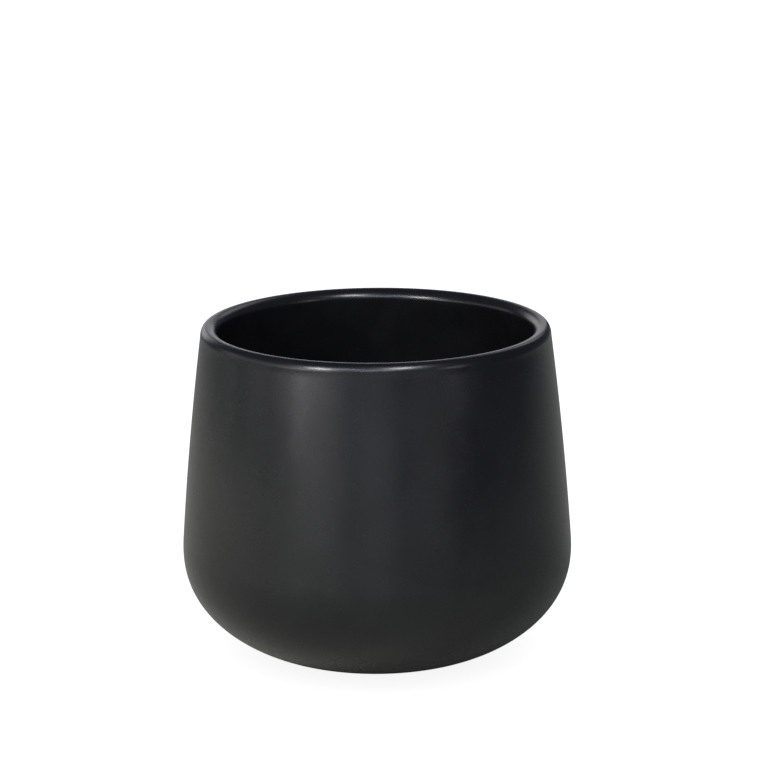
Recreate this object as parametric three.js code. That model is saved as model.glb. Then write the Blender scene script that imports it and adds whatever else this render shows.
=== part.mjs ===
// An empty candle jar: a squat stoneware vessel, wide and round low down and narrowing to its mouth.
// The fired clay body carries a satin black glaze outside, a liner glaze inside and a glaze patch
// in the hollow of its foot. Only the foot ring that it stands on is bare clay.
// Millimetres, +Z up. The origin is the centre of the foot ring, on the surface that the jar stands on.

import * as THREE from 'three';

// Overall
const HEIGHT = 81.7;
const FOOT_HEIGHT = 0.6; // the foot ring stands this far below the round of the belly
const SEGMENTS = 56; // facets around the jar

// Outside of the side wall: its radius, counted from the foot of the belly upwards
const WALL_RADIUS = 49.6; // where the wall's own line would meet the foot of the belly
const WALL_LEAN = 0.04; // inward lean, in mm per mm of height
const WALL_BOW = 3.85; // extra inward bow at the rim

// Round of the belly, outside and inside: a superellipse corner between floor and wall
const BELLY_REACH = 25; // from the wall line in to the flat underside
const BELLY_RISE = 28.2; // height of the round
const INNER_REACH = 21.5;
const INNER_RISE = 24;
const RISE_POWER = 2.4;
const REACH_POWER = 1.4;
const ROUND_EASE = 1.3; // draws a round's points closer together towards the wall

// Floor and lip. The lip's land and rounds together set the wall's thickness
const FLOOR_TOP = 5.8; // height of the inside floor
const LIP_LAND = 0.2; // narrow flat along the top of the lip
const LIP_OUTER_REACH = 1.4; // width of the lip's outer round
const LIP_OUTER_DROP = 1.7; // height of its outer round
const LIP_INNER_REACH = 2.6; // width of its inner round
const LIP_INNER_DROP = 2.8; // height of its inner round

// Glaze
const GLAZE = 0.4; // thickness of each coat
const GLAZE_GAP = 0.05; // clearance between a coat and the clay
const GLAZE_MARGIN = 0.3; // bare clay between a coat's edge and the foot ring
const LINER_LAP = 1; // points of the inside wall that the outer coat covers below the lip

// Foot ring and the hollow inside it
const FOOT_OUTER = 23.3;
const FOOT_INNER = 19.8;
const FOOT_BEVEL = 0.3;
const HOLLOW_DEPTH = 1.5;
const HOLLOW_SLOPE = 1.2; // width of the slope from the foot ring up into the hollow

// Points along each stretch of the profile
const ROUND_STEPS = 10;
const WALL_STEPS = 6;
const LIP_STEPS = 3;

const BOWL_HEIGHT = HEIGHT - FOOT_HEIGHT;
const FOOT_SIDE = FOOT_OUTER + FOOT_BEVEL;
const HOLLOW_RADIUS = FOOT_INNER - HOLLOW_SLOPE;
const WALL_TOP = HEIGHT - LIP_OUTER_DROP;

function point(radius, height) {
  return new THREE.Vector2(radius, height);
}

// Radius of the outside of the wall at a height.
function wallRadius(height) {
  const rise = height - FOOT_HEIGHT;
  return WALL_RADIUS - WALL_LEAN * rise - WALL_BOW * (rise / BOWL_HEIGHT) ** 2;
}

// The round between a floor and a wall, from the floor's edge upwards.
function roundCorner(floor, rise, reach, radiusAt) {
  const points = [];
  for (let i = 0; i <= ROUND_STEPS; i += 1) {
    const turn = (Math.PI / 2) * (1 - (1 - i / ROUND_STEPS) ** ROUND_EASE);
    const height = floor + rise * (1 - Math.max(Math.cos(turn), 0) ** (2 / RISE_POWER));
    const inset = reach * (1 - Math.sin(turn) ** (2 / REACH_POWER));
    points.push(point(radiusAt(height) - inset, height));
  }
  return points;
}

// A wall between two heights, both ends included.
function wallLine(from, to, radiusAt) {
  const points = [];
  for (let i = 0; i <= WALL_STEPS; i += 1) {
    const height = THREE.MathUtils.lerp(from, to, i / WALL_STEPS);
    points.push(point(radiusAt(height), height));
  }
  return points;
}

// A quarter round of the lip about its centre, between two angles counted from the horizontal.
function lipRound(centre, reach, drop, from, to) {
  const points = [];
  for (let i = 0; i <= LIP_STEPS; i += 1) {
    const turn = THREE.MathUtils.lerp(from, to, i / LIP_STEPS);
    points.push(point(centre + reach * Math.cos(turn), HEIGHT - drop + drop * Math.sin(turn)));
  }
  return points;
}

// The glazed outside, from beside the foot ring up to the lip's top.
function outsidePath() {
  const lipCentre = wallRadius(WALL_TOP) - LIP_OUTER_REACH;
  return [
    point(FOOT_SIDE + GLAZE_MARGIN, FOOT_HEIGHT),
    ...roundCorner(FOOT_HEIGHT, BELLY_RISE, BELLY_REACH, wallRadius),
    ...wallLine(FOOT_HEIGHT + BELLY_RISE, WALL_TOP, wallRadius).slice(1),
    ...lipRound(lipCentre, LIP_OUTER_REACH, LIP_OUTER_DROP, 0, Math.PI / 2).slice(1),
  ];
}

// The glazed inside, from the lip's top down to the middle of the floor. Its wall keeps the same
// distance from the outside all the way down.
function insidePath() {
  const lipCentre = wallRadius(WALL_TOP) - LIP_OUTER_REACH - LIP_LAND;
  const lip = lipRound(lipCentre, LIP_INNER_REACH, LIP_INNER_DROP, Math.PI / 2, Math.PI);
  const lipFoot = lip[lip.length - 1];
  const thickness = wallRadius(lipFoot.y) - lipFoot.x;
  const sideRadius = (height) => wallRadius(height) - thickness;
  return [
    ...lip,
    ...wallLine(lipFoot.y, FLOOR_TOP + INNER_RISE, sideRadius).slice(1),
    ...roundCorner(FLOOR_TOP, INNER_RISE, INNER_REACH, sideRadius).reverse().slice(1),
    point(0, FLOOR_TOP),
  ];
}

// The same path moved into the material by a depth, square to the surface at every point.
function inset(path, depth) {
  return path.map((here, i) => {
    const before = path[Math.max(i - 1, 0)];
    const after = path[Math.min(i + 1, path.length - 1)];
    const along = after.clone().sub(before).normalize();
    return point(here.x - depth * along.y, here.y + depth * along.x);
  });
}

// A coat of glaze over a stretch of the surface, from its underside round to its face.
function coat(path) {
  return [...inset(path, GLAZE).reverse(), ...path];
}

function closed(profile) {
  return [...profile, profile[0].clone()];
}

// Turns a profile about Z. It runs up the outside and down the inside.
function turned(name, profile, material) {
  const geometry = new THREE.LatheGeometry(profile, SEGMENTS);
  geometry.rotateX(Math.PI / 2);
  const mesh = new THREE.Mesh(geometry, material);
  mesh.name = name;
  return mesh;
}

const outside = outsidePath();
const skin = [...outside, ...insidePath()];
const lapEnd = outside.length + LIP_STEPS + LINER_LAP;

// Fired clay, from the hollow of the foot round the foot ring, up the wall and down to the floor.
function stonewareBody(material) {
  const clay = inset(skin, GLAZE + GLAZE_GAP);
  const ringTop = clay[0].y;
  return turned('stoneware_body', [
    point(0, HOLLOW_DEPTH),
    point(HOLLOW_RADIUS, HOLLOW_DEPTH),
    point(FOOT_INNER, 0),
    point(FOOT_OUTER, 0),
    point(FOOT_SIDE, FOOT_BEVEL),
    point(FOOT_SIDE, ringTop),
    ...clay,
  ], material);
}

// The outer coat runs over the lip and a little way down inside.
function outerGlaze(material) {
  return turned('outer_glaze', closed(coat(skin.slice(0, lapEnd + 1))), material);
}

// The liner coat takes over there, down the wall and across the floor.
function linerGlaze(material) {
  const edge = point(skin[lapEnd].x, skin[lapEnd].y - GLAZE_GAP);
  return turned('liner_glaze', coat([edge, ...skin.slice(lapEnd + 1)]), material);
}

// A thin round patch in the hollow of the foot.
function baseGlaze(material) {
  const radius = HOLLOW_RADIUS - GLAZE_MARGIN;
  const top = HOLLOW_DEPTH - GLAZE_GAP;
  return turned('base_glaze', [
    point(0, top - GLAZE),
    point(radius, top - GLAZE),
    point(radius, top),
    point(0, top),
  ], material);
}

const clayMaterial = new THREE.MeshStandardMaterial({ color: '#c4b49a', roughness: 0.9, metalness: 0 });
const outerMaterial = new THREE.MeshStandardMaterial({ color: '#1b1c1e', roughness: 0.28, metalness: 0 });
const linerMaterial = new THREE.MeshStandardMaterial({ color: '#17181a', roughness: 0.3, metalness: 0 });
const baseMaterial = new THREE.MeshStandardMaterial({ color: '#1e1f22', roughness: 0.32, metalness: 0 });

const group = new THREE.Group();
group.add(
  stonewareBody(clayMaterial),
  outerGlaze(outerMaterial),
  linerGlaze(linerMaterial),
  baseGlaze(baseMaterial),
);

export default group;
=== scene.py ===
"""Looks for the empty candle jar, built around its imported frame.

The jar is a stoneware casting turned about Z, with a satin black coat outside and over the lip, a
liner coat inside and a patch of glaze in the hollow of its foot. Metres, +Z up, and the origin is
the middle of the foot ring on the floor. Every piece is a closed surface turned from a profile.
"""
import math

import bpy
from mathutils import Matrix, Vector


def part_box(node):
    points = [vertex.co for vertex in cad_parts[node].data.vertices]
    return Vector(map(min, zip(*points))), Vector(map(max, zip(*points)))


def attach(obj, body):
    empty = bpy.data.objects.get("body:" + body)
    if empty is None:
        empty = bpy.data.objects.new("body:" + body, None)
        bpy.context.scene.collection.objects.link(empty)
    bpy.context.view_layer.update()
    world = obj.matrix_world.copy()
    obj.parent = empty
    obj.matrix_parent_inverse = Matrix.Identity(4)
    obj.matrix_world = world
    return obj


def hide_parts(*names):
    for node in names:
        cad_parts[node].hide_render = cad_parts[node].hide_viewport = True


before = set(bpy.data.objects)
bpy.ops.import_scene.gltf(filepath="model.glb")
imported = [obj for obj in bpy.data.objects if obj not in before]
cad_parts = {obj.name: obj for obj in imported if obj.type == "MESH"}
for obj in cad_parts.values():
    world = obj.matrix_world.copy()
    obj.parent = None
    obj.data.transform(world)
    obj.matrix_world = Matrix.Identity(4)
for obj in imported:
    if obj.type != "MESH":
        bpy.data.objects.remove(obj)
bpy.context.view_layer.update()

MM = 0.001

# ------------------------------------------------------------------ sizes that the frame gives
OUTER_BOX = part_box("outer_glaze")
LINER_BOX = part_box("liner_glaze")
PATCH_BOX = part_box("base_glaze")
HEIGHT = OUTER_BOX[1].z
FOOT_HEIGHT = OUTER_BOX[0].z  # the round of the belly starts here
WIDEST = OUTER_BOX[1].x
SEAM_HEIGHT = LINER_BOX[1].z  # the outer coat ends and the liner begins, inside
PATCH_RADIUS = PATCH_BOX[1].x
GLAZE = PATCH_BOX[1].z - PATCH_BOX[0].z
FLOOR_TOP = LINER_BOX[0].z + GLAZE

# ------------------------------------------------------------------ the shape of the profile
# It is the frame's own profile, except that the lip's two rounds are a little fuller.
WALL_RADIUS = 49.6 * MM  # where the wall's line would meet the foot of the belly
WALL_LEAN = 0.04
WALL_BOW = 3.85 * MM  # extra inward bow at the rim
BELLY_REACH = 25 * MM  # from the wall's line in to the flat underside
BELLY_RISE = 28.2 * MM  # height of the round
INNER_REACH = 21.5 * MM
INNER_RISE = 24 * MM
RISE_POWER = 2.4
REACH_POWER = 1.4
ROUND_EASE = 1.3  # draws a round's points closer together towards the wall
LIP_LAND = 0.2 * MM
LIP_OUTER_REACH = 1.6 * MM
LIP_OUTER_DROP = 2.4 * MM
LIP_INNER_REACH = 2.4 * MM
LIP_INNER_DROP = 2.4 * MM
FOOT_OUTER = 23.3 * MM
FOOT_INNER = 19.8 * MM
FOOT_BEVEL = 0.3 * MM
HOLLOW_SLOPE = 1.2 * MM  # width of the slope from the foot ring up into the hollow
GLAZE_GAP = 0.05 * MM  # between a coat and the clay
GLAZE_MARGIN = 0.3 * MM  # bare clay between a coat's edge and the foot ring

BOWL_HEIGHT = HEIGHT - FOOT_HEIGHT
FOOT_SIDE = FOOT_OUTER + FOOT_BEVEL
HOLLOW_RADIUS = FOOT_INNER - HOLLOW_SLOPE
HOLLOW_DEPTH = PATCH_BOX[1].z + GLAZE_GAP
WALL_TOP = HEIGHT - LIP_OUTER_DROP

# ------------------------------------------------------------------ hand-made detail
# How far each slow irregular wave wanders, and its phase, which is where round the jar it starts
WARP = 0.035 * MM  # of the fired wall, inwards from a true circle
WARP_PHASE = 0.8
WARP_CLIMB = 55  # how much the phase grows per metre of height
EDGE_WANDER = 0.22 * MM  # of a wiped glaze edge
EDGE_PHASE = 2.1
BRUSH_WANDER = 0.44 * MM  # of the foot patch's brushed edge
BRUSH_PHASE = 4.4
WAVES = (  # crests round the jar, height and how fast the phase moves it
    (2, 1, 1),
    (3, 0.6, -1.7),
    (5, 0.5, 2.3),
    (9, 0.3, -1),
)

EDGE_FULLNESS = 0.8  # how far a coat's rounded edge stands out, in halves of its thickness
BEAD = 0.1 * MM  # how far glaze gathers proud along its lower edge
BEAD_WIDTH = 0.9 * MM
LAP = 1.6 * MM  # the outer coat feathers out over the liner along this height
SETTLE = 2 * MM  # below the seam the liner rises flush along this height
FEATHER = 0.005 * MM  # thickness of the outer coat's feathered edge
LAP_GAP = 0.006 * MM  # between the liner and the feathered coat over it
EDGE_SUPPORT = 0.004 * MM  # keeps the smooth face flat right up to the feathered edge
PATCH_SPREAD = 0.985  # the foot patch's radius, against its node's
PATCH_THIN = 0.5  # how much thinner the foot patch is at its middle, in thicknesses
PATCH_RIM_POWER = 6  # how closely the foot patch's thick rim keeps to its edge
BRUSH_POWER = 8  # how closely the brushed edge's wander keeps to that edge

SEGMENTS = 256
ROUND_STEPS = 72
WALL_STEPS = 40
SEAM_STEPS = 8
TUCKED_POINTS = SEAM_STEPS - 2  # the liner reaches up behind this many of the outer coat's last points
LIP_STEPS = 16
CAP_STEPS = 8
WIPED_POINTS = 2 * CAP_STEPS  # a wiped edge's wander dies out over this many points
ON_AXIS = 1e-9


# ------------------------------------------------------------------ profile
def wall_radius(height):
    rise = height - FOOT_HEIGHT
    return WALL_RADIUS - WALL_LEAN * rise - WALL_BOW * (rise / BOWL_HEIGHT) ** 2


def round_corner(floor, rise, reach, radius_at):
    """The round between a floor and a wall, from the floor's edge upwards."""
    points = []
    for i in range(ROUND_STEPS + 1):
        turn = math.pi / 2 * (1 - (1 - i / ROUND_STEPS) ** ROUND_EASE)
        height = floor + rise * (1 - max(math.cos(turn), 0) ** (2 / RISE_POWER))
        inward = reach * (1 - math.sin(turn) ** (2 / REACH_POWER))
        points.append(Vector((radius_at(height) - inward, height)))
    return points


def wall_line(start, end, radius_at, steps=WALL_STEPS):
    """A wall between two heights, both ends included."""
    heights = [start + (end - start) * i / steps for i in range(steps + 1)]
    return [Vector((radius_at(height), height)) for height in heights]


def lip_round(centre, reach, drop, start, end):
    """A quarter round of the lip about its centre, between two angles from the horizontal."""
    points = []
    for i in range(LIP_STEPS + 1):
        turn = start + (end - start) * i / LIP_STEPS
        height = HEIGHT - drop + drop * math.sin(turn)
        points.append(Vector((centre + reach * math.cos(turn), height)))
    return points


def outside_path():
    """The glazed outside, from beside the foot ring up to the lip's top."""
    lip_centre = wall_radius(WALL_TOP) - LIP_OUTER_REACH
    edge = FOOT_SIDE + GLAZE_MARGIN
    flat = wall_radius(FOOT_HEIGHT) - BELLY_REACH
    radii = [edge + (flat - edge) * i / CAP_STEPS for i in range(CAP_STEPS)]
    return [
        *[Vector((radius, FOOT_HEIGHT)) for radius in radii],
        *round_corner(FOOT_HEIGHT, BELLY_RISE, BELLY_REACH, wall_radius),
        *wall_line(FOOT_HEIGHT + BELLY_RISE, WALL_TOP, wall_radius)[1:],
        *lip_round(lip_centre, LIP_OUTER_REACH, LIP_OUTER_DROP, 0, math.pi / 2)[1:],
    ]


def inside_path():
    """The glazed inside, from the lip's top down to the middle of the floor, in two at the seam."""
    lip_centre = wall_radius(WALL_TOP) - LIP_OUTER_REACH - LIP_LAND
    lip = lip_round(lip_centre, LIP_INNER_REACH, LIP_INNER_DROP, math.pi / 2, math.pi)
    thickness = wall_radius(lip[-1].y) - lip[-1].x

    def side_radius(height):
        return wall_radius(height) - thickness

    corner = round_corner(FLOOR_TOP, INNER_RISE, INNER_REACH, side_radius)
    floor_radii = [corner[0].x * (1 - i / CAP_STEPS) for i in range(1, CAP_STEPS + 1)]
    lap_top = SEAM_HEIGHT + LAP
    settled = SEAM_HEIGHT - SETTLE
    above_seam = [
        *lip,
        *wall_line(lip[-1].y, lap_top, side_radius, SEAM_STEPS)[1:],
        *wall_line(lap_top, SEAM_HEIGHT + EDGE_SUPPORT, side_radius, SEAM_STEPS)[1:],
        Vector((side_radius(SEAM_HEIGHT), SEAM_HEIGHT)),
    ]
    below_seam = [
        *wall_line(SEAM_HEIGHT, settled, side_radius, SEAM_STEPS)[1:],
        *wall_line(settled, FLOOR_TOP + INNER_RISE, side_radius)[1:],
        *corner[::-1][1:],
        *[Vector((radius, FLOOR_TOP)) for radius in floor_radii],
    ]
    return above_seam, below_seam


def directions(path):
    """Unit direction of travel along a path at each of its points."""
    last = len(path) - 1
    return [(path[min(i + 1, last)] - path[max(i - 1, 0)]).normalized() for i in range(last + 1)]


def inset(path, depth_at):
    """The same path moved into the material, square to the surface.

    depth_at(point) is how deep each of its points goes. A path that ends on the axis stays on it.
    """
    moved = [p + depth_at(p) * Vector((-d.y, d.x)) for p, d in zip(path, directions(path))]
    if path[-1].x == 0:
        moved[-1].x = 0
    return moved


def even(depth):
    """The same depth at every point."""
    return lambda point: depth


def cap(face_end, underside_end, outward):
    """The rounded edge of a coat, between the ends of its face and of its underside."""
    middle = (face_end + underside_end) / 2
    half = (face_end - underside_end) / 2
    bulge = outward * half.length * EDGE_FULLNESS
    turns = [math.pi * i / CAP_STEPS for i in range(1, CAP_STEPS)]
    return [middle + half * math.cos(turn) + bulge * math.sin(turn) for turn in turns]


def rounded(corners, radius):
    """An open line of corners, with every inner corner eased into a small curve."""
    points = [corners[0]]
    for before, corner, after in zip(corners, corners[1:], corners[2:]):
        to_before = before - corner
        to_after = after - corner
        reach = min(radius, to_before.length / 2, to_after.length / 2)
        start = corner + to_before.normalized() * reach
        end = corner + to_after.normalized() * reach
        for i in range(CAP_STEPS + 1):
            t = i / CAP_STEPS
            points.append(start * (1 - t) ** 2 + corner * 2 * t * (1 - t) + end * t ** 2)
    return [*points, corners[-1]]


# ------------------------------------------------------------------ turning a profile
def wander(azimuth, phase):
    """A slow irregular wave round the jar, from 0 to 1."""
    wave = sum(height * math.sin(crests * azimuth + speed * phase) for crests, height, speed in WAVES)
    return 0.5 + wave / (2 * sum(height for _, height, _ in WAVES))


def warped(radius, height, azimuth):
    """The fired clay is never quite round: the radius draws in a little, most in the wall."""
    share = min(radius / WIDEST, 1) ** 2
    return radius - WARP * share * wander(azimuth, WARP_PHASE + WARP_CLIMB * height)


def turned(name, profile, radius_shift=None):
    """A closed mesh turned from a profile that runs up the outside and down the inside.

    A profile that doesn't start on the axis closes on itself. radius_shift(index, azimuth) is how
    far outwards the profile's point of that index moves at that azimuth.
    """
    verts = []
    rings = []
    for index, point in enumerate(profile):
        if point.x < ON_AXIS:
            rings.append([len(verts)] * SEGMENTS)
            verts.append((0, 0, point.y))
            continue
        ring = []
        for i in range(SEGMENTS):
            azimuth = math.tau * i / SEGMENTS
            radius = warped(point.x, point.y, azimuth)
            if radius_shift:
                radius += radius_shift(index, azimuth)
            ring.append(len(verts))
            verts.append((radius * math.cos(azimuth), radius * math.sin(azimuth), point.y))
        rings.append(ring)
    pairs = list(zip(rings, rings[1:]))
    if profile[0].x > ON_AXIS:
        pairs.append((rings[-1], rings[0]))
    faces = []
    for lower, upper in pairs:
        for i in range(SEGMENTS):
            j = (i + 1) % SEGMENTS
            corners = [lower[i], lower[j], upper[j], upper[i]]
            faces.append(tuple(dict.fromkeys(corners)))  # three corners where it meets the axis
    mesh = bpy.data.meshes.new(name)
    mesh.from_pydata(verts, [], faces)
    mesh.polygons.foreach_set("use_smooth", [True] * len(mesh.polygons))
    mesh.update()
    piece = bpy.data.objects.new(name, mesh)
    bpy.context.scene.collection.objects.link(piece)
    return piece


# ------------------------------------------------------------------ pieces
def beaded(path):
    """Glaze gathers into a low bead along its lower edge, beside the foot ring."""
    edge = path[0].x
    points = []
    for point in path:
        share = (point.x - edge) / BEAD_WIDTH
        in_bead = 0 < share < 1 and point.y < SEAM_HEIGHT / 2
        drop = BEAD * math.sin(math.pi * share) ** 2 if in_bead else 0
        points.append(Vector((point.x, point.y - drop)))
    return points


def lap_depth(point):
    """Depth of the outer coat's underside above the seam: a feather edge that thickens upwards."""
    share = min(max((point.y - SEAM_HEIGHT) / LAP, 0), 1)
    return FEATHER + (GLAZE - FEATHER) * share * share * (3 - 2 * share)


def outer_coat(outside, above_seam):
    """Its lower edge is wiped by hand, and its inner edge feathers out over the liner."""
    skin = [*outside, *above_seam]
    face = beaded(skin)
    under = [
        *inset(skin, even(GLAZE))[: len(outside)],
        *inset([outside[-1], *above_seam], lap_depth)[1:],
    ]
    profile = [*face, *under[::-1], *cap(under[0], face[0], Vector((-1, 0)))]

    def wiped_edge(index, azimuth):
        from_edge = min(index, len(profile) - index)
        share = max(0, 1 - from_edge / WIPED_POINTS)
        return EDGE_WANDER * share * wander(azimuth, EDGE_PHASE)

    return turned("outer_coat", profile, wiped_edge)


def liner_coat(above_seam, below_seam):
    """Its top edge is tucked behind the outer coat's feathered edge, so that no seam shows."""
    path = [*above_seam[-TUCKED_POINTS:], *below_seam]

    def face_depth(point):
        if point.y >= SEAM_HEIGHT:
            return lap_depth(point) + LAP_GAP
        return (FEATHER + LAP_GAP) * max(1 - (SEAM_HEIGHT - point.y) / SETTLE, 0)

    return turned("liner_coat", [*inset(path, even(GLAZE))[::-1], *inset(path, face_depth)])


def clay_casting(skin):
    """The fired clay under the coats, with the bare foot ring and the hollow inside it."""
    clay = inset(skin, even(GLAZE + GLAZE_GAP))
    foot = [
        Vector((0, HOLLOW_DEPTH)),
        Vector((HOLLOW_RADIUS, HOLLOW_DEPTH)),
        Vector((FOOT_INNER, 0)),
        Vector((FOOT_OUTER, 0)),
        Vector((FOOT_SIDE, FOOT_BEVEL)),
        Vector((FOOT_SIDE, clay[0].y)),
        clay[0],
    ]
    return turned("clay_casting", [*rounded(foot, FOOT_BEVEL), *clay[1:]])


def foot_patch():
    """Thin in the middle and thicker towards its wandering edge, as brushed glaze dries."""
    low, top = PATCH_BOX[0].z, PATCH_BOX[1].z
    face = []
    for i in range(ROUND_STEPS + 1):
        share = i / ROUND_STEPS
        rise = PATCH_THIN * (1 - share ** PATCH_RIM_POWER) * GLAZE
        face.append(Vector((PATCH_RADIUS * PATCH_SPREAD * share, low + rise)))
    under = [Vector((point.x, top)) for point in face]
    profile = [*face, *cap(face[-1], under[-1], Vector((1, 0))), *under[::-1]]

    def brushed_edge(index, azimuth):
        from_axis = min(index, len(profile) - 1 - index)
        share = min(from_axis / ROUND_STEPS, 1)
        return -BRUSH_WANDER * share ** BRUSH_POWER * wander(azimuth, BRUSH_PHASE)

    return turned("foot_patch", profile, brushed_edge)


# ------------------------------------------------------------------ materials
SATIN_DEEP = (0.0045, 0.0046, 0.0052)
SATIN_THIN = (0.0072, 0.0073, 0.0082)
SATIN_ROUGHNESS = 0.27
FOOT_DEEP = (0.004, 0.004, 0.0044)
FOOT_THIN = (0.009, 0.009, 0.0095)
FOOT_ROUGHNESS = 0.3
MOTTLE = 0.012  # how far a glaze's roughness strays either way
SPECK_LIFT = 2.2  # a glaze freckle's colour, against the thin glaze's
GLAZE_IOR = 1.5

CLAY_DARK = (0.47, 0.37, 0.26)
CLAY_LIGHT = (0.62, 0.53, 0.41)
CLAY_SAND = (0.66, 0.58, 0.46)
CLAY_IRON = (0.13, 0.075, 0.04)
CLAY_ROUGHNESS = (0.82, 0.96)

CLOUD_RANGE = (0.3, 0.7)  # the part of a noise's range that its two tones spread over
SAND_RANGE = (0.35, 0.65)
DOT_CORE = 0.6  # the share of a dot's radius that is at full strength
MIX_FIRST, MIX_SECOND, MIX_RESULT = 6, 7, 2  # the colour sockets of a Mix node


class Shader:
    """A material's node tree, with short calls for the nodes that these finishes use."""

    def __init__(self, name):
        self.material = bpy.data.materials.new(name)
        self.material.use_nodes = True
        self.tree = self.material.node_tree
        self.tree.nodes.clear()
        output = self.tree.nodes.new("ShaderNodeOutputMaterial")
        self.surface = self.tree.nodes.new("ShaderNodeBsdfPrincipled")
        self.link(self.surface.outputs["BSDF"], output.inputs["Surface"])
        self.place = self.tree.nodes.new("ShaderNodeTexCoord").outputs["Object"]

    def link(self, source, target):
        self.tree.links.new(source, target)

    def noise(self, grain, detail=2.0, roughness=0.5, distortion=0.0):
        """Cloudy noise whose lumps are about `grain` metres across."""
        node = self.tree.nodes.new("ShaderNodeTexNoise")
        node.inputs["Scale"].default_value = 1 / grain
        node.inputs["Detail"].default_value = detail
        node.inputs["Roughness"].default_value = roughness
        node.inputs["Distortion"].default_value = distortion
        self.link(self.place, node.inputs["Vector"])
        return node.outputs["Fac"]

    def dots(self, spacing, size):
        """1 inside small round dots about `spacing` metres apart and up to `size` wide, else 0."""
        node = self.tree.nodes.new("ShaderNodeTexVoronoi")
        node.inputs["Scale"].default_value = 1 / spacing
        self.link(self.place, node.inputs["Vector"])
        edge = size / spacing / 2
        return self.ramped(node.outputs["Distance"], (edge, edge * DOT_CORE))

    def ramped(self, value, span, result=(0, 1)):
        """Maps a value across a span smoothly onto the result's two ends."""
        node = self.tree.nodes.new("ShaderNodeMapRange")
        node.interpolation_type = "SMOOTHSTEP"
        for socket, number in zip(("From Min", "From Max", "To Min", "To Max"), (*span, *result)):
            node.inputs[socket].default_value = number
        self.link(value, node.inputs["Value"])
        return node.outputs["Result"]

    def blended(self, factor, first, second):
        """A colour between two: each is a colour, or the output of another blend."""
        node = self.tree.nodes.new("ShaderNodeMix")
        node.data_type = "RGBA"
        self.link(factor, node.inputs["Factor"])
        for index, colour in ((MIX_FIRST, first), (MIX_SECOND, second)):
            if isinstance(colour, tuple):
                node.inputs[index].default_value = (*colour, 1)
            else:
                self.link(colour, node.inputs[index])
        return node.outputs[MIX_RESULT]

    def bumped(self, height, distance, normal=None):
        """A bump `distance` metres high, on top of another bump if there is one."""
        node = self.tree.nodes.new("ShaderNodeBump")
        node.inputs["Distance"].default_value = distance
        self.link(height, node.inputs["Height"])
        if normal:
            self.link(normal, node.inputs["Normal"])
        return node.outputs["Normal"]

    def pitted(self, spacing, size, depth, normal):
        """Small round pits, on top of another bump."""
        return self.bumped(self.ramped(self.dots(spacing, size), (0, 1), (1, 0)), depth, normal)


def glaze_material(name, deep, thin, roughness):
    """Satin black glaze: cloudy tone, uneven gloss, a fine pebbled skin and a few pinholes."""
    shader = Shader(name)
    clouds = shader.ramped(shader.noise(14 * MM, detail=3, roughness=0.55, distortion=0.4), CLOUD_RANGE)
    freckles = shader.dots(spacing=2.6 * MM, size=0.35 * MM)
    tone = shader.blended(clouds, deep, thin)
    speck = tuple(SPECK_LIFT * channel for channel in thin)
    shader.link(shader.blended(freckles, tone, speck), shader.surface.inputs["Base Color"])
    gloss = shader.noise(5 * MM, detail=4, roughness=0.6)
    matt = shader.ramped(gloss, CLOUD_RANGE, (roughness - MOTTLE, roughness + MOTTLE))
    shader.link(matt, shader.surface.inputs["Roughness"])
    shader.surface.inputs["IOR"].default_value = GLAZE_IOR
    pebbles = shader.bumped(shader.noise(1.6 * MM), 0.0035 * MM)
    skin = shader.bumped(shader.noise(0.35 * MM, detail=1), 0.0012 * MM, pebbles)
    pinholes = shader.pitted(spacing=7 * MM, size=0.3 * MM, depth=0.02 * MM, normal=skin)
    shader.link(pinholes, shader.surface.inputs["Normal"])
    return shader.material


def clay_material():
    """Bare buff stoneware, sanded at the foot: warm clouds, iron specks and open grain."""
    shader = Shader("bare_clay")
    clouds = shader.ramped(shader.noise(6 * MM, detail=4, roughness=0.6), CLOUD_RANGE)
    tone = shader.blended(clouds, CLAY_DARK, CLAY_LIGHT)
    sand = shader.ramped(shader.noise(0.4 * MM, detail=3, roughness=0.7), SAND_RANGE)
    sanded = shader.blended(sand, tone, CLAY_SAND)
    iron = shader.dots(spacing=1.3 * MM, size=0.3 * MM)
    shader.link(shader.blended(iron, sanded, CLAY_IRON), shader.surface.inputs["Base Color"])
    matt = shader.ramped(shader.noise(0.8 * MM, detail=3), CLOUD_RANGE, CLAY_ROUGHNESS)
    shader.link(matt, shader.surface.inputs["Roughness"])
    grain = shader.bumped(shader.noise(0.35 * MM, detail=4, roughness=0.65), 0.05 * MM)
    pits = shader.pitted(spacing=1.9 * MM, size=0.35 * MM, depth=0.05 * MM, normal=grain)
    shader.link(pits, shader.surface.inputs["Normal"])
    return shader.material


# ------------------------------------------------------------------ studio
AIM = Vector((0, 0, FOOT_HEIGHT + 40.57 * MM))  # about the middle of the jar

# Camera: degrees, millimetres for the lens, metres for the distance
CAMERA_ELEVATION = 16.05
CAMERA_DISTANCE = 720 * MM
CAMERA_UP = 1.832  # turned this far above the jar
CAMERA_RIGHT = 0.272  # and this far to its right
CAMERA_ROLL = -0.42
SENSOR_WIDTH = 36
LENS = 134.3

WHITE = (1, 1, 1)
COOL = (0.68, 0.78, 1)
WARM = (0.97, 1, 0.84)

# How large a panel looks from the jar, in degrees across and up, and how far off it stands
SOFTBOX = (13, 12)
STRIP = (30, 5)
SCREEN = (25, 25)
NEAR = 0.6
FAR = 3

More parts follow.
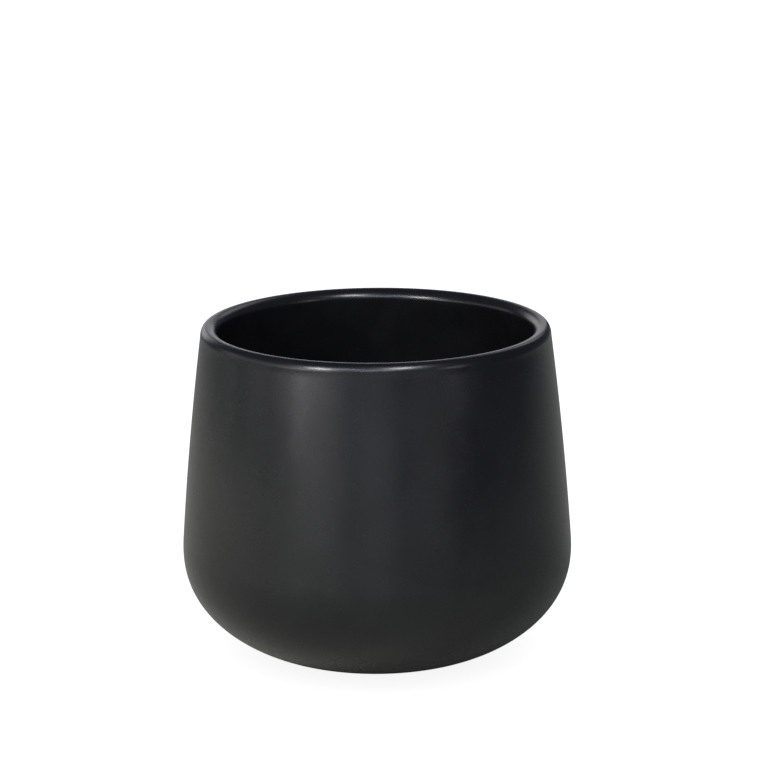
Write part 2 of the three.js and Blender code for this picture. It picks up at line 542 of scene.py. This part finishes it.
# name: azimuth, elevation, degrees across, degrees up, distance, brightness, colour
PANELS = {
    "lamp_left": (-36, 24, 9, 10, NEAR, 34, WHITE),
    "lamp_left_low": (-34, 14, 9, 9, NEAR, 5, WHITE),
    "glow_left": (-48, 6, *SOFTBOX, FAR, 3.8, WHITE),
    "glow_left_wide": (-62, 6, *SOFTBOX, FAR, 1.3, WHITE),
    "lamp_right": (18, 36, 8, 9, FAR, 30, WHITE),
    "lamp_right_high": (22, 44, 13, 10, FAR, 8, WHITE),
    "window": (8, 25, *SOFTBOX, FAR, 5.2, COOL),
    "window_left": (-6, 21, *SOFTBOX, FAR, 4.4, COOL),
    "fill_left": (-20, 30, *SOFTBOX, FAR, 4.5, COOL),
    "fill_right": (50, 10, *SOFTBOX, FAR, 1.7, WHITE),
    "horizon_left": (-30, -3, *STRIP, FAR, 1.2, WHITE),
    "horizon": (0, -3, *STRIP, FAR, 1, WHITE),
    "horizon_right": (30, -3, *STRIP, FAR, 0.6, WHITE),
    "side_left": (-80, 8, *SCREEN, FAR, 0.43, WHITE),
    "side_left_back": (-105, 8, *SCREEN, FAR, 0.4, WHITE),
    "backdrop_left": (-155, 10, *SCREEN, FAR, 0.7, WHITE),
    "backdrop": (180, 8, *SCREEN, FAR, 0.5, WHITE),
    "backdrop_right": (155, 34, *SCREEN, FAR, 0.6, WHITE),
}
TABLE_LAMP = (-80, 28, 26, 26, 0.45, 4.5, WARM)  # laid out as above
PANEL_POWER = 4  # watts per square metre of a panel for a brightness of 1

# azimuth, elevation, degrees across, strength, colour
TABLE_DOME = (-15, 45, 70, 1.1, WARM)
FLOOR_DOME = (0, 90, 120, 0.8, WHITE)

AMBIENT = 0.12
AMBIENT_TINT = (0.66, 0.68, 1)
BACKDROP_STRENGTH = 1.05

DISC_SIDES = 96
FLOOR_RADIUS = 2.6
FLOOR_TONES = (0.84, 0.86)
FLOOR_GLOW = 0.9
TABLE_RADIUS = 0.9
TABLE_CENTRE = (-0.3, 0.55)
TABLE_DROP = 0.2 * MM  # below the floor that the jar stands on
TABLE_TONES = (0.78, 0.8)
CLOUD_ON_FLOOR = 0.4  # metres across


def direction(azimuth, elevation):
    """Unit vector from the jar: azimuth 0 is towards the camera, and positive is to the right."""
    a, e = math.radians(azimuth), math.radians(elevation)
    return Vector((math.sin(a) * math.cos(e), -math.cos(a) * math.cos(e), math.sin(e)))


def only(name, *objects):
    """A collection of just these objects, for a light to be linked to."""
    collection = bpy.data.collections.new(name)
    for piece in objects:
        collection.objects.link(piece)
    return collection


def light_of(name, kind, colour, receivers):
    """A light that shines only on the receivers."""
    data = bpy.data.lights.new(name, kind)
    data.color = colour
    light = bpy.data.objects.new(name, data)
    bpy.context.scene.collection.objects.link(light)
    light.light_linking.receiver_collection = receivers
    return light


def soft_light(name, azimuth, elevation, across, up, distance, brightness, colour, receivers):
    """A soft elliptical panel that faces the jar. Its brightness counts against the white floor's."""
    away = direction(azimuth, elevation)
    light = light_of(name, "AREA", colour, receivers)
    light.data.shape = "ELLIPSE"
    light.data.size = 2 * distance * math.tan(math.radians(across / 2))
    light.data.size_y = 2 * distance * math.tan(math.radians(up / 2))
    light.data.energy = brightness * PANEL_POWER * light.data.size * light.data.size_y
    light.location = AIM + away * distance
    light.rotation_euler = away.to_track_quat("Z", "Y").to_euler()
    light.visible_camera = False


def sun_lamp(name, azimuth, elevation, across, strength, colour, receivers):
    """A very soft sun, as wide as a dome of sky."""
    light = light_of(name, "SUN", colour, receivers)
    light.data.energy = strength
    light.data.angle = math.radians(across)
    light.rotation_euler = direction(azimuth, elevation).to_track_quat("Z", "Y").to_euler()


def make_camera():
    """Looks slightly down at the jar, which sits a little below and left of the view's middle."""
    data = bpy.data.cameras.new("camera")
    data.sensor_width = SENSOR_WIDTH
    data.lens = LENS
    camera = bpy.data.objects.new("camera", data)
    bpy.context.scene.collection.objects.link(camera)
    away = direction(0, CAMERA_ELEVATION)
    place = Matrix.Translation(AIM + away * CAMERA_DISTANCE)
    aimed = away.to_track_quat("Z", "Y").to_matrix().to_4x4()
    up = Matrix.Rotation(math.radians(CAMERA_UP), 4, "X")
    right = Matrix.Rotation(math.radians(-CAMERA_RIGHT), 4, "Y")
    roll = Matrix.Rotation(math.radians(CAMERA_ROLL), 4, "Z")
    camera.matrix_world = place @ aimed @ (up @ right) @ roll
    bpy.context.scene.camera = camera


def flat_disc(name, radius, centre_x, centre_y, height):
    """A flat round sheet of the studio, which isn't part of the jar."""
    around = [math.tau * i / DISC_SIDES for i in range(DISC_SIDES)]
    rim = [(centre_x + radius * math.cos(a), centre_y + radius * math.sin(a), height) for a in around]
    mesh = bpy.data.meshes.new(name)
    mesh.from_pydata(rim, [], [range(DISC_SIDES)])
    disc = bpy.data.objects.new(name, mesh)
    bpy.context.scene.collection.objects.link(disc)
    return disc


def pale_material(name, tones, glow):
    """Matt white with faint clouds, and a glow of its own."""
    shader = Shader(name)
    clouds = shader.ramped(shader.noise(CLOUD_ON_FLOOR, detail=3), CLOUD_RANGE)
    dark, light = [(tone,) * 3 for tone in tones]
    shader.link(shader.blended(clouds, dark, light), shader.surface.inputs["Base Color"])
    shader.surface.inputs["Roughness"].default_value = 1
    shader.surface.inputs["Specular IOR Level"].default_value = 0
    shader.surface.inputs["Emission Color"].default_value = (*WHITE, 1)
    shader.surface.inputs["Emission Strength"].default_value = glow
    return shader.material


def make_floor():
    """The white floor that the camera sees, glowing so that only a faint shadow shows on it.

    The jar neither reflects it nor is lit by it.
    """
    floor = flat_disc("floor", FLOOR_RADIUS, 0, 0, 0)
    floor.data.materials.append(pale_material("pale_floor", FLOOR_TONES, FLOOR_GLOW))
    floor.visible_glossy = False
    floor.visible_diffuse = False
    floor.visible_shadow = False
    return floor


def make_bounce_floor():
    """The table as the jar reflects it, under lamps of its own and ending not far in front."""
    table = flat_disc("bounce_floor", TABLE_RADIUS, *TABLE_CENTRE, -TABLE_DROP)
    table.data.materials.append(pale_material("bounce_floor", TABLE_TONES, 0))
    table.visible_camera = False
    return table


def make_world():
    """White behind everything for the camera, and a dim even light for the jar."""
    world = bpy.data.worlds.new("studio")
    bpy.context.scene.world = world
    world.use_nodes = True
    tree = world.node_tree
    tree.nodes.clear()
    seen = tree.nodes.new("ShaderNodeBackground")
    seen.inputs["Color"].default_value = (*WHITE, 1)
    seen.inputs["Strength"].default_value = BACKDROP_STRENGTH
    dim = tree.nodes.new("ShaderNodeBackground")
    dim.inputs["Color"].default_value = (*AMBIENT_TINT, 1)
    dim.inputs["Strength"].default_value = AMBIENT
    path = tree.nodes.new("ShaderNodeLightPath")
    mix = tree.nodes.new("ShaderNodeMixShader")
    output = tree.nodes.new("ShaderNodeOutputWorld")
    tree.links.new(path.outputs["Is Camera Ray"], mix.inputs["Fac"])
    tree.links.new(dim.outputs[0], mix.inputs[1])
    tree.links.new(seen.outputs[0], mix.inputs[2])
    tree.links.new(mix.outputs[0], output.inputs["Surface"])


def make_studio(pieces):
    """Lights the floor, the table and the jar apart, each with lamps of its own."""
    sun_lamp("floor_dome", *FLOOR_DOME, only("floor_only", make_floor()))
    table = only("table_only", make_bounce_floor())
    soft_light("table_lamp", *TABLE_LAMP, table)
    sun_lamp("table_dome", *TABLE_DOME, table)
    make_world()
    jar = only("jar_only", *pieces)
    for name, settings in PANELS.items():
        soft_light(name, *settings, jar)
    bpy.context.scene.view_settings.view_transform = "Standard"


def build():
    make_camera()
    outside = outside_path()
    above_seam, below_seam = inside_path()
    pieces = {
        outer_coat(outside, above_seam): ("outer_glaze", "satin_glaze"),
        liner_coat(above_seam, below_seam): ("liner_glaze", "liner_glaze"),
        clay_casting([*outside, *above_seam, *below_seam]): ("stoneware_body", "bare_clay"),
        foot_patch(): ("base_glaze", "foot_glaze"),
    }
    finishes = {
        "satin_glaze": glaze_material("satin_glaze", SATIN_DEEP, SATIN_THIN, SATIN_ROUGHNESS),
        "liner_glaze": glaze_material("liner_glaze", SATIN_DEEP, SATIN_THIN, SATIN_ROUGHNESS),
        "foot_glaze": glaze_material("foot_glaze", FOOT_DEEP, FOOT_THIN, FOOT_ROUGHNESS),
        "bare_clay": clay_material(),
    }
    for piece, (node, slot) in pieces.items():
        piece.data.materials.append(finishes[slot])
        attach(piece, "root")
        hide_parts(node)
    make_studio(pieces)


build()
